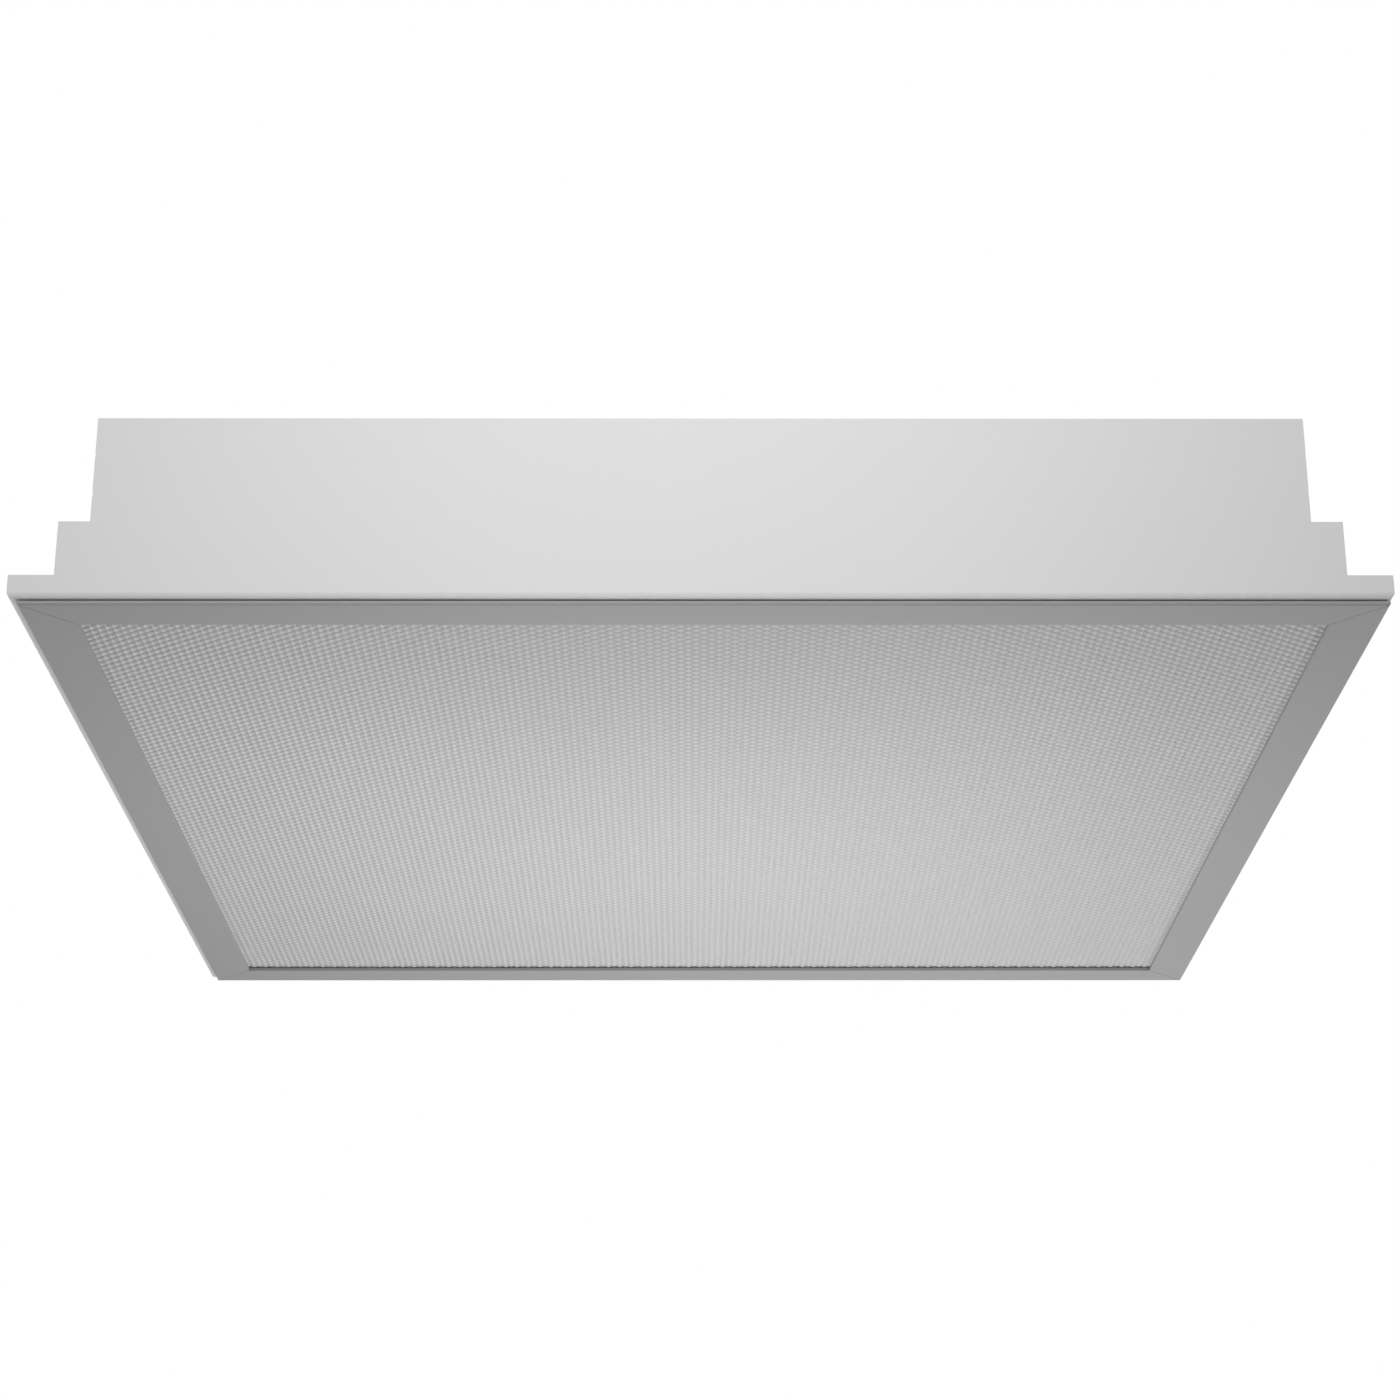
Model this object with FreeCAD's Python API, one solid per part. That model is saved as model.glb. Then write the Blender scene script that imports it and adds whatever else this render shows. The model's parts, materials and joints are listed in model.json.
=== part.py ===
import FreeCAD, Part
import math
import os

from FreeCAD import Vector

# A recessed ceiling light with a hinged door. Millimetres, +Z up.
# The origin is under the middle of the rim, on the plane of the door's face; the front looks along -Y.

# ---- housing, folded from steel sheet
body_width = 595.0           # across the rim, left to right
body_depth = 595.0           # across the rim, front to rear
sheet = 0.8
rim_height = 10.2
rim_round = 2.3              # outside radius of the rim's rolled lower edge
rim_return = 10.0            # from the rim's outer face to the free edge of the inner return
rim_ledge = 19.7             # width of the step above the rim
middle_height = 25.2
middle_ledge = 13.7          # width of the step above the middle stage
top_height = 49.6
fold_inside = 0.7            # inside radius of the other folds

# ---- end plates
tab_length = 12.0            # flanges folded in from an end plate
tab_end_room = 6.0           # from a tab's end to the nearest fold
tab_clearance = 0.1          # between a flange and the shell it is riveted to
side_rivets = 2              # up each side of an end plate

# ---- door
door_reveal = 2.75           # mean strip of rim that shows beside the door
door_shift = 1.4             # the door hangs this far towards its hinges
flange_thickness = 1.8
shadow_gap = 0.7             # between the door's flange and the rim
rail_width = 22.25
rail_edge_round = 1.0
web_thickness = 1.5
web_headroom = 1.4           # between the web's top and the rim ledge above it
web_clearance = 0.6          # between the web and the return's edge as the door swings
key_channel = 3.5            # between the web and the lip, for the corner keys
lip_thickness = 1.0
lip_height = 3.7
mitre_gap = 0.25
key_clearance = 0.2
key_arm = 35.0
key_height = 3.0
diffuser_thickness = 3.0
diffuser_clearance = 0.5

# ---- diffuser clips
clip_sheet = 0.5
clip_width = 14.0
clip_overhang = 3.4          # how far a clip reaches over the diffuser
clip_gap = 0.1
clips_per_rail = 3

# ---- hinges
hinge_pin_radius = 1.2
hinge_fit = 0.05             # radial clearance of the pin in the arm's curl
curl_wall = 0.85
curl_clearance = 0.3         # between the curl and the inside of the rim
hinge_rise = 4.1             # hinge axis above the rim's lower face
hinge_end_inset = 97.5       # from the rim's front or rear face to a hinge's middle
arm_width = 14.0
arm_sheet = 1.2
arm_side_gap = 0.4
slot_side_gap = 0.5
slot_clearance = 0.5
ear_thickness = 1.0
ear_rim_gap = 0.1            # between the bracket and the fold beside it
bracket_inner_room = 1.0     # how far the bracket's foot reaches in past the return's free edge
bracket_foot = 6.0           # the foot's length beyond each ear
pin_overhang = 0.6
pin_head_radius = 1.9
pin_head_height = 0.8

# ---- door catches, spring steel
catch_sheet = 0.5
catch_width = 16.0
catch_bend = 0.9             # inside radius of the catch's top bend
catch_bite = 1.3             # how far the nose reaches over the return
catch_gap = 0.35             # between the nose and the return at rest
catch_nose_rise = 1.6
catch_tail = 1.2             # how far the lead-in stays back from the return's edge
catch_end_inset = 97.5

# ---- rivets and screws
rivet_radius = 1.2
rivet_head_radius = 2.2
rivet_head_height = 0.7
rivet_tail_height = 0.7
rivet_pitch = 8.0
plate_rivet_radius = 1.6
plate_rivet_head_radius = 3.2
plate_rivet_head_height = 1.0
top_rivets = 5
screw_radius = 1.9
screw_head_radius = 3.6
screw_head_height = 2.0
screw_length = 6.0
screws_per_side = 4
ballast_screw_length = 3.0
screw_end_inset = 50.0
slot_width = 1.0
slot_depth = 0.9

# ---- reflector tray
tray_sheet = 0.7
tray_slope_run = 48.0
tray_edge_gap = 0.2          # between the tray's flange and the fold beside it
tray_slope_gap = 0.8         # between the top box's wall and the foot of the slope
tray_screw_play = 0.15

# ---- lamps and their holders
lamp_count = 4
lamp_side_room = 35.0        # from the outer lamp's axis to the edge of the flat of the tray
lamp_drop = 10.0             # from the tray down to the lamp
tube_radius = 8.0
tube_wall = 0.8
cap_wall = 0.3
cap_fit = 0.05
cap_length = 12.0
cap_disc = 1.0
pin_length = 7.0
lamp_pin_radius = 1.18
lamp_pin_pitch = 5.0
holder_gap = 0.5             # between a lamp's end face and its holder
holder_depth = 10.5
holder_half_width = 9.0
holder_headroom = 2.0        # between a holder and the tray
holder_foot_radius = 8.0
holder_below_axis = 11.0
rotor_radius = 6.0
rotor_fit = 0.06
rotor_depth = 8.2
rotor_inset = 0.2
rotor_back_gap = 0.3
rotor_slot_play = 0.25       # round the pins, in the rotor's slot
mouth_play = 0.4             # beside the pins, in the holder's mouth
boss_half_width = 6.0
boss_half_height = 4.7
boss_length = 8.5
boss_clearance = 0.3

# ---- lampholder bars
bar_sheet = 0.8
bar_gap = 0.2                # between the tray's end and the bar
bar_flange = 14.0
bar_drop = 6.0               # the bar reaches this far under the tray's flange
wire_duct = 10.2             # between a bar and the end plate

# ---- ballast
ballast_width = 30.0
ballast_length = 340.0
ballast_height = 21.0
ballast_sheet = 0.6
ballast_wall = 10.0          # height of the base's side walls
cover_gap = 0.1              # between the cover and what it goes over
ballast_tab = 14.0
gear_headroom = 4.9          # between the ballast and the top plate
board_thickness = 1.6
board_standoff = 3.0
board_inset = 1.0
choke_size = 16.0
choke_height = 11.0
choke_spacing = 60.0
choke_count = 4
capacitor_radius = 5.0
capacitor_length = 18.0
terminal_depth = 12.0
terminal_height = 10.0
terminal_inset = 1.5
input_depth = 6.0            # the supply terminal on the ballast's side
input_margin = 5.0           # from its end to the nearest wire

# ---- wiring
wire_radius = 1.6
lane_start = 15.0            # from the ballast's tab end to the first cross run
lane_pitch = 12.0
wire_spacing = 6.0
wire_bend_share = 0.45
wire_clip_width = 8.0
wire_clip_length = 6.0
wire_clip_cover = 1.6
wire_clip_play = 0.1
wire_clip_gap = 2.0          # between a clip and the bar's flange

# ---- mains entry
block_width = 24.0           # terminal block, left to right
block_length = 30.0
block_height = 16.0
block_x = 110.0              # middle of the terminal block
block_setback = 46.5         # from the end of the ballast's tab in to the block's middle
block_screw_radius = 2.0
block_screw_rise = 1.2
supply_spacing = 7.0
supply_count = 3
earth_x = 70.0
earth_stud_radius = 2.0
earth_nut_radius = 3.9
earth_nut_height = 3.2
earth_nut_sides = 6
earth_washer_radius = 5.0
earth_washer_height = 1.0
grommet_bore = 6.0
grommet_wall = 2.6
grommet_lip = 2.4
grommet_lip_height = 1.8
grommet_fit = 0.05
grommet_end_inset = 42.0
hanger_hole_radius = 2.75
hanger_inset_x = 39.1        # from the top box's side to a hanger hole
hanger_inset_y = 72.5        # from the end face to a hanger hole

touch = 0.01                 # points closer than this count as one

# ---- worked out from the sizes above
half_w = body_width / 2
half_d = body_depth / 2
rim_bottom = flange_thickness + shadow_gap
rim_top = rim_bottom + rim_height
middle_top = rim_top + middle_height
top = middle_top + top_height
middle_half = half_w - rim_ledge
box_half = middle_half - middle_ledge
return_x = half_w - rim_return
return_y = half_d - rim_return
return_top = rim_bottom + sheet
ledge_under = rim_top - sheet
plate_in = half_d - sheet
box_in = box_half - sheet
middle_in = middle_half - sheet
ceiling = top - sheet

curl_radius = hinge_pin_radius + hinge_fit + curl_wall
hinge_x = half_w - sheet - curl_clearance - curl_radius
hinge_z = rim_bottom + hinge_rise
hinge_y = half_d - hinge_end_inset
strap_under = hinge_z - arm_sheet / 2
catch_y = half_d - catch_end_inset

door_half_x = half_w - door_reveal
door_half_y = half_d - door_reveal
door_right = door_half_x + door_shift
door_left = door_shift - door_half_x
return_reach = math.hypot(hinge_x - return_x, hinge_z - rim_bottom)
web_offset = door_right - (hinge_x - return_reach - web_clearance)
web_top = ledge_under - web_headroom
web_right = door_right - web_offset
web_left = door_left + web_offset
lip_top = flange_thickness + lip_height
lip_offset = web_offset + web_thickness + key_channel
diffuser_offset = lip_offset + lip_thickness + diffuser_clearance
diffuser_top = flange_thickness + diffuser_thickness

tray_top = ceiling - gear_headroom - ballast_height
tray_under = tray_top - tray_sheet
tray_foot = middle_top - sheet - tray_sheet
tray_flat = box_in - tray_slope_gap - tray_slope_run
lamp_pitch = 2 * (tray_flat - lamp_side_room) / (lamp_count - 1)
cap_radius = tube_radius + cap_fit + cap_wall
lamp_z = tray_under - lamp_drop - cap_radius
bar_outer = plate_in - wire_duct
bar_inner = bar_outer - bar_sheet
holder_face = bar_inner - holder_depth
lamp_end = holder_face - holder_gap
tray_end = bar_inner - bar_gap
holder_top = tray_under - holder_headroom
bar_bottom = tray_foot - bar_drop
boss_z = lamp_z + (holder_top - lamp_z) / 2

ballast_end = ballast_length / 2
cover_half = ballast_width / 2 + ballast_sheet + cover_gap
tab_end = ballast_end + ballast_tab
wire_z = tray_top + terminal_height / 2
drop_y = bar_outer + wire_duct / 2
block_y = tab_end - block_setback
grommet_y = half_d - grommet_end_inset
grommet_hole = grommet_bore + grommet_wall
hanger_x = box_half - hanger_inset_x
hanger_y = half_d - hanger_inset_y

X_AXIS = Vector(1, 0, 0)
Y_AXIS = Vector(0, 1, 0)
Z_AXIS = Vector(0, 0, 1)
ORIGIN = Vector(0, 0, 0)


# ---- shape helpers
def block(x, y, z):
    """A box between two limits on each axis."""
    return Part.makeBox(x[1] - x[0], y[1] - y[0], z[1] - z[0], Vector(x[0], y[0], z[0]))


def rod(start, end, radius):
    """A cylinder from one point to another."""
    span = end - start
    return Part.makeCylinder(radius, span.Length, start, span)


def prism(points, direction):
    """A flat polygon pushed along a direction."""
    return Part.Face(Part.makePolygon(points + [points[0]])).extrude(direction)


def joined(shapes):
    """One solid from shapes that meet."""
    return shapes[0].fuse(shapes[1:]).removeSplitter()


def mirror_x(shape):
    return shape.mirror(ORIGIN, X_AXIS)


def mirror_y(shape):
    return shape.mirror(ORIGIN, Y_AXIS)


def both_sides(shape):
    return [shape, mirror_x(shape)]


def both_ends(shape):
    return [shape, mirror_y(shape)]


def spaced(low, high, count):
    """Evenly spaced places from low to high, ends included."""
    return [low + (high - low) * k / (count - 1) for k in range(count)]


def centred(count, pitch):
    """Evenly spaced places about the middle."""
    return [(k - (count - 1) / 2) * pitch for k in range(count)]


def left_of(a, b):
    """Unit vector to the left of the way from a to b, in the XZ plane."""
    way = b - a
    way.normalize()
    return Vector(-way.z, 0, way.x)


def arc_or_line(before, corner, after, radius):
    """Where an outline of this radius leaves the first leg, its middle, and where it joins the second."""
    back = before - corner
    ahead = after - corner
    half_angle = back.getAngle(ahead) / 2
    back.normalize()
    ahead.normalize()
    reach = radius / math.tan(half_angle)
    centre_way = back + ahead
    centre_way.normalize()
    middle = corner + centre_way * (radius / math.sin(half_angle) - radius)
    return corner + back * reach, middle, corner + ahead * reach


def outline_edges(points, radii):
    """Straight legs and tangent arcs through a list of corners."""
    edges = []
    here = points[0]
    for k in range(1, len(points) - 1):
        start, middle, end = arc_or_line(points[k - 1], points[k], points[k + 1], radii[k - 1])
        edges.append(Part.LineSegment(here, start).toShape())
        edges.append(Part.Arc(start, middle, end).toShape())
        here = end
    edges.append(Part.LineSegment(here, points[-1]).toShape())
    return edges


def offset_corner(before, corner, after, distance):
    """The corner of the same outline, set off to its left."""
    first = left_of(before, corner)
    second = left_of(corner, after)
    way = first + second
    return corner + way * (distance / (1 + first.dot(second)))


def folded_section(corners, thickness, inside_radii):
    """Section of folded sheet in the XZ plane: corners along its outside, the sheet to their right."""
    points = [Vector(x, 0, z) for x, z in corners]
    inner = [points[0] + left_of(points[0], points[1]) * -thickness]
    near = []
    far = []
    for k in range(1, len(points) - 1):
        before, corner, after = points[k - 1], points[k], points[k + 1]
        inner.append(offset_corner(before, corner, after, -thickness))
        turns_left = left_of(before, corner).dot(after - corner) > 0
        bend = inside_radii[k - 1]
        near.append(bend if turns_left else bend + thickness)
        far.append(bend + thickness if turns_left else bend)
    inner.append(points[-1] + left_of(points[-2], points[-1]) * -thickness)
    edges = outline_edges(points, near)
    edges.append(Part.LineSegment(points[-1], inner[-1]).toShape())
    edges += outline_edges(inner[::-1], far[::-1])
    edges.append(Part.LineSegment(inner[0], points[0]).toShape())
    return Part.Face(Part.Wire(Part.__sortEdges__(edges)))


def along_y(section, low, high):
    """A section in the XZ plane, pushed from one Y to another."""
    placed = section.copy()
    placed.translate(Vector(0, low, 0))
    return placed.extrude(Vector(0, high - low, 0))


def turned_to_end(shape):
    """Turn a shape made against the left side so that it faces the front."""
    return shape.rotate(ORIGIN, Z_AXIS, 90)


def tube_path(points, radius):
    """A round tube along straight runs, with an arc at each turn as large as its runs allow."""
    radii = []
    for k in range(1, len(points) - 1):
        back = points[k - 1] - points[k]
        ahead = points[k + 1] - points[k]
        half_angle = back.getAngle(ahead) / 2
        shorter = min(back.Length, ahead.Length)
        radii.append(wire_bend_share * shorter * math.tan(half_angle))
    path = Part.Wire(outline_edges(points, radii))
    start_way = points[1] - points[0]
    ring = Part.Wire([Part.Circle(points[0], start_way, radius).toShape()])
    return path.makePipeShell([ring], True, False)


def screw(place, way, radius, length, head_radius, head_height):
    """An upright screw: its slotted head sits at the place and its shank points along the way."""
    head = rod(place, place - way * head_height, head_radius)
    shank = rod(place, place + way * length, radius)
    side = way.cross(Y_AXIS)
    low = place - way * head_height - side * (slot_width / 2) - Y_AXIS * head_radius
    corners = [low, low + side * slot_width]
    corners += [corner + Y_AXIS * 2 * head_radius for corner in corners[::-1]]
    cut = prism(corners, way * slot_depth)
    return joined([head.cut(cut), shank])


def rivet(place, way, grip, radius, head_radius, head_height, tail_height):
    """A rivet with its head at the place, its shank along the way and a tail past the grip."""
    crown = place - way * head_height
    head = rod(place, crown, head_radius)
    rim = [e for e in head.Edges if e.CenterOfMass.isEqual(crown, touch)]
    head = head.makeFillet(head_height / 2, rim)
    tail = rod(place + way * grip, place + way * (grip + tail_height), (radius + head_radius) / 2)
    return joined([head, rod(place, place + way * grip, radius), tail])


# ---- housing
def rim_corner_cuts():
    """The parts of the shell's ends that the end plates take: the walls' ends and the mitres below them."""
    reach = half_w + half_d
    roll_top = rim_bottom + rim_round
    end = block((-reach, reach), (plate_in, reach), (roll_top, top + sheet))
    low = rim_bottom - sheet
    diagonal = half_d - half_w
    corner = [Vector(0, diagonal, low), Vector(reach, reach + diagonal, low)]
    corner.append(Vector(0, reach + diagonal, low))
    mitre = prism(corner, Vector(0, 0, roll_top - low))
    cuts = both_ends(end)
    for side in both_sides(mitre):
        cuts += both_ends(side)
    return cuts


def hinge_slot(y):
    """The slot in the return that one hinge arm swings through."""
    half = arm_width / 2 + slot_side_gap
    end_x = hinge_x + arm_sheet / 2 + slot_clearance
    return block((return_x - sheet, end_x), (y - half, y + half), (rim_bottom - sheet, return_top + sheet))


def shell_corners():
    left = [(-return_x, rim_bottom), (-half_w, rim_bottom), (-half_w, rim_top), (-middle_half, rim_top)]
    left += [(-middle_half, middle_top), (-box_half, middle_top), (-box_half, top)]
    return left + [(-x, z) for x, z in left[::-1]]


def screw_places():
    """Tray screws on the right-hand ledge, as (x, y)."""
    x = (box_half + middle_half) / 2
    last = tray_end - screw_end_inset
    return [(x, y) for y in spaced(-last, last, screws_per_side)]


def plate_rivet_places():
    """Rivets through the top plate into the front end plate's flange, as (x, y)."""
    y = -plate_in + tab_length / 2
    edge = box_in - tab_end_room - tab_length
    return [(x, y) for x in spaced(-edge, edge, top_rivets)]


def side_rivet_heights():
    low = middle_top + tab_end_room
    high = ceiling - tab_end_room
    pitch = (high - low) / side_rivets
    return [(low + high) / 2 + rise for rise in centred(side_rivets, pitch)]


def housing_shell():
    """The folded shell: top, two sides with two ledges each, and the rim with its rolled edge."""
    roll = rim_round - sheet
    corners = shell_corners()
    folds = [fold_inside] * (len(corners) - 2)
    folds[0] = roll
    folds[-1] = roll
    shell = along_y(folded_section(corners, sheet, folds), -half_d, half_d)
    cuts = rim_corner_cuts() + [hinge_slot(y) for y in (-hinge_y, hinge_y)]
    for x in (-hanger_x, hanger_x):
        for y in (-hanger_y, hanger_y):
            cuts.append(rod(Vector(x, y, ceiling - sheet), Vector(x, y, top + sheet), hanger_hole_radius))
    entry = Vector(block_x, grommet_y, 0)
    cuts.append(rod(entry + Z_AXIS * (ceiling - sheet), entry + Z_AXIS * (top + sheet), grommet_hole))
    for x, y in screw_places():
        hole = rod(Vector(x, y, middle_top - 2 * sheet), Vector(x, y, middle_top + sheet), screw_radius)
        cuts += both_sides(hole)
    for x, y in plate_rivet_places():
        hole = rod(Vector(x, y, ceiling - sheet), Vector(x, y, top + sheet), plate_rivet_radius)
        cuts += both_ends(hole)
    for z in side_rivet_heights():
        y = -plate_in + tab_length / 2
        hole = rod(Vector(box_in - sheet, y, z), Vector(box_half + sheet, y, z), plate_rivet_radius)
        for side in both_sides(hole):
            cuts += both_ends(side)
    return shell.cut(cuts)


def end_plate():
    """The front end plate: stepped outline, rolled lower edge, and flanges folded in for the rivets."""
    steps = [(-half_w, rim_bottom), (-half_w, rim_top), (-middle_half, rim_top), (-middle_half, middle_top)]
    steps += [(-box_half, middle_top), (-box_half, top)]
    steps += [(-x, z) for x, z in steps[::-1]]
    outline = prism([Vector(x, -half_d, z) for x, z in steps], Vector(0, rim_return, 0))
    bend = [rim_round - sheet]
    section = folded_section([(-return_y, rim_bottom), (-half_d, rim_bottom), (-half_d, top)], sheet, bend)
    band = turned_to_end(along_y(section, -half_w, half_w))
    low = rim_bottom - sheet
    reach = half_w + half_d
    diagonal = half_w - half_d
    corner = [Vector(diagonal, 0, low), Vector(reach + diagonal, -reach, low)]
    corner.append(Vector(reach + diagonal, 0, low))
    mitre = prism(corner, Vector(0, 0, rim_round + sheet))
    plate = band.common(outline).cut(both_sides(mitre))
    inner = -plate_in
    flange_top = ceiling - tab_clearance
    edge = box_in - tab_end_room
    top_flange = block((-edge, edge), (inner, inner + tab_length), (flange_top - sheet, flange_top))
    side_x = box_in - tab_clearance
    low_z, high_z = middle_top + tab_end_room, ceiling - tab_end_room
    side_tab = block((side_x - sheet, side_x), (inner, inner + tab_length), (low_z, high_z))
    for x, y in plate_rivet_places():
        hole = rod(Vector(x, y, ceiling - 2 * sheet), Vector(x, y, top), plate_rivet_radius)
        top_flange = top_flange.cut(hole)
    for z in side_rivet_heights():
        y = inner + tab_length / 2
        hole = rod(Vector(box_in - 2 * sheet, y, z), Vector(box_half, y, z), plate_rivet_radius)
        side_tab = side_tab.cut(hole)
    return joined([plate, top_flange] + both_sides(side_tab))


def end_plate_rivets():
    grip = 2 * sheet + tab_clearance
    size = (plate_rivet_radius, plate_rivet_head_radius, plate_rivet_head_height, rivet_tail_height)
    rivets = []
    for x, y in plate_rivet_places():
        rivets += both_ends(rivet(Vector(x, y, top), -Z_AXIS, grip, *size))
    for z in side_rivet_heights():
        y = -plate_in + tab_length / 2
        for side in both_sides(rivet(Vector(box_half, y, z), -X_AXIS, grip, *size)):
            rivets += both_ends(side)
    return Part.makeCompound(rivets)


# ---- reflector tray and lampholder bars
def tray_corners():
    edge = middle_in - fold_inside - tray_edge_gap
    foot = box_in - tray_slope_gap
    left = [(-edge, tray_foot + tray_sheet), (-foot, tray_foot + tray_sheet), (-tray_flat, tray_top)]
    return left + [(-x, z) for x, z in left[::-1]]


def reflector_tray():
    corners = tray_corners()
    section = folded_section(corners, tray_sheet, [fold_inside] * (len(corners) - 2))
    tray = along_y(section, -tray_end, tray_end)
    holes = []
    for x, y in screw_places():
        low = Vector(x, y, tray_foot - sheet)
        holes += both_sides(rod(low, Vector(x, y, middle_top), screw_radius + tray_screw_play))
    for x, y in bar_rivet_places():
        low = Vector(x, y, tray_under - sheet)
        holes += both_ends(rod(low, Vector(x, y, tray_top + sheet), rivet_radius))
    for y in (-ballast_screw_y(), ballast_screw_y()):
        holes.append(rod(Vector(0, y, tray_under - sheet), Vector(0, y, tray_top + sheet), screw_radius))
    earth = Vector(earth_x, block_y, tray_under - sheet)
    holes.append(rod(earth, earth + Z_AXIS * (tray_sheet + 2 * sheet), earth_stud_radius))
    return tray.cut(holes)


def tray_screws():
    screws = []
    for x, y in screw_places():
        one = screw(Vector(x, y, middle_top), -Z_AXIS, screw_radius, screw_length, screw_head_radius,
                    screw_head_height)
        screws += both_sides(one)
    return Part.makeCompound(screws)


def bar_rivet_places():
    """Rivets of the front lampholder bar, between the lamps, as (x, y)."""
    y = -bar_outer + bar_flange / 2
    middles = [(a + b) / 2 for a, b in zip(lamp_x[:-1], lamp_x[1:])]
    return [(x, y) for x in middles]


def lampholder_bar():
    """The front bar: it closes the tray's end, and has a window for each holder's boss."""
    foot = box_in - tray_slope_gap
    side = [(-foot, bar_bottom), (-foot, tray_foot), (-tray_flat, tray_under)]
    top_edge = [(-tray_flat, tray_top + bar_sheet)]
    left = side + top_edge
    outline = [Vector(x, -bar_outer, z) for x, z in left + [(-x, z) for x, z in left[::-1]]]
    web = prism(outline, Vector(0, bar_sheet, 0))
    flange_y = (-bar_outer, -bar_outer + bar_flange)
    flange = block((-tray_flat, tray_flat), flange_y, (tray_top, tray_top + bar_sheet))
    bar = joined([web, flange])
    cuts = []
    for x in lamp_x:
        half = boss_half_width + boss_clearance
        rise = boss_half_height + boss_clearance
        cuts.append(block((x - half, x + half), (-half_d, -holder_face), (boss_z - rise, boss_z + rise)))
    for x, y in bar_rivet_places():
        cuts.append(rod(Vector(x, y, tray_under), Vector(x, y, tray_top + 2 * bar_sheet), rivet_radius))
    return bar.cut(cuts)


def bar_rivets():
    grip = bar_sheet + tray_sheet
    size = (rivet_radius, rivet_head_radius, rivet_head_height, rivet_tail_height)
    rivets = []
    for x, y in bar_rivet_places():
        rivets += both_ends(rivet(Vector(x, y, tray_under), Z_AXIS, grip, *size))
    return Part.makeCompound(rivets)


def lampholder(x):
    """One front holder: a rounded body with a rotor bore, a mouth below it and a wiring boss behind."""
    back = -bar_inner
    face = -holder_face
    half = holder_half_width
    low = lamp_z - holder_below_axis
    body = block((x - half, x + half), (back, face), (low, holder_top))
    feet = [e for e in body.Edges if abs(e.Length - holder_depth) < touch and e.CenterOfMass.z < lamp_z]
    body = body.makeFillet(holder_foot_radius, feet)
    boss = block((x - boss_half_width, x + boss_half_width), (back - boss_length, back),
                 (boss_z - boss_half_height, boss_z + boss_half_height))
    depth = rotor_inset + rotor_depth + rotor_back_gap
    bore = rod(Vector(x, face, lamp_z), Vector(x, face - depth, lamp_z), rotor_radius + rotor_fit)
    mouth_half = lamp_pin_radius + mouth_play
    mouth_x = (x - mouth_half, x + mouth_half)
    mouth = block(mouth_x, (face - depth, face + holder_gap), (low - sheet, lamp_z))
    return joined([body, boss]).cut([bore, mouth])


def lampholders():
    return Part.makeCompound([lampholder(x) for x in lamp_x])


# ---- lamps
lamp_x = centred(lamp_count, lamp_pitch)


def lamp_tube(x):
    end = lamp_end - cap_disc
    start = Vector(x, -end, lamp_z)
    finish = Vector(x, end, lamp_z)
    bore = rod(start, finish, tube_radius - tube_wall)
    return rod(start, finish, tube_radius).cut(bore)


def lamp_cap(x):
    face = Vector(x, -lamp_end, lamp_z)
    cup = rod(face, face + Y_AXIS * cap_length, cap_radius)
    hollow = rod(face + Y_AXIS * cap_disc, face + Y_AXIS * cap_length, tube_radius + cap_fit)
    return cup.cut(hollow)


def lamp_pins(x):
    pins = []
    for side in (-0.5, 0.5):
        root = Vector(x + side * lamp_pin_pitch, -lamp_end, lamp_z)
        pins += both_ends(rod(root, root - Y_AXIS * pin_length, lamp_pin_radius))
    return Part.makeCompound(pins)


def lamp_rotor(x):
    """The drum in a holder that grips the pins, with a slot right across it."""
    face = Vector(x, -holder_face - rotor_inset, lamp_z)
    drum = rod(face, face - Y_AXIS * rotor_depth, rotor_radius)
    half = lamp_pin_radius + rotor_slot_play
    depth = pin_length - holder_gap - rotor_inset + rotor_slot_play
    slot_x = (x - rotor_radius, x + rotor_radius)
    slot = block(slot_x, (face.y - depth, face.y), (lamp_z - half, lamp_z + half))
    return drum.cut(slot)


# ---- ballast and wiring
def ballast_screw_y():
    return ballast_end + ballast_tab / 2


def ballast_base():
    half = ballast_width / 2
    floor = block((-half, half), (-tab_end, tab_end), (tray_top, tray_top + ballast_sheet))
    end = ballast_end - ballast_sheet - cover_gap
    wall = block((half - ballast_sheet, half), (-end, end), (tray_top, tray_top + ballast_wall))
    base = joined([floor] + both_sides(wall))
    holes = []
    for y in (-ballast_screw_y(), ballast_screw_y()):
        low = Vector(0, y, tray_top - sheet)
        holes.append(rod(low, Vector(0, y, tray_top + 2 * ballast_sheet), screw_radius))
    return base.cut(holes)


def ballast_cover():
    """The lid: a channel upside down over the base, with end walls above the terminals."""
    half = cover_half
    low = tray_top + ballast_sheet
    high = tray_top + ballast_height
    body = block((-half, half), (-ballast_end, ballast_end), (low, high))
    inside_x = (-half + ballast_sheet, half - ballast_sheet)
    inside_y = (-ballast_end + ballast_sheet, ballast_end - ballast_sheet)
    hollow = block(inside_x, inside_y, (low - sheet, high - ballast_sheet))
    mouth_half = ballast_width / 2 - terminal_inset + cover_gap
    mouth_z = (low - sheet, tray_top + terminal_height + sheet)
    mouth = block((-mouth_half, mouth_half), (-tab_end, tab_end), mouth_z)
    return body.cut([hollow, mouth])


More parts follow.
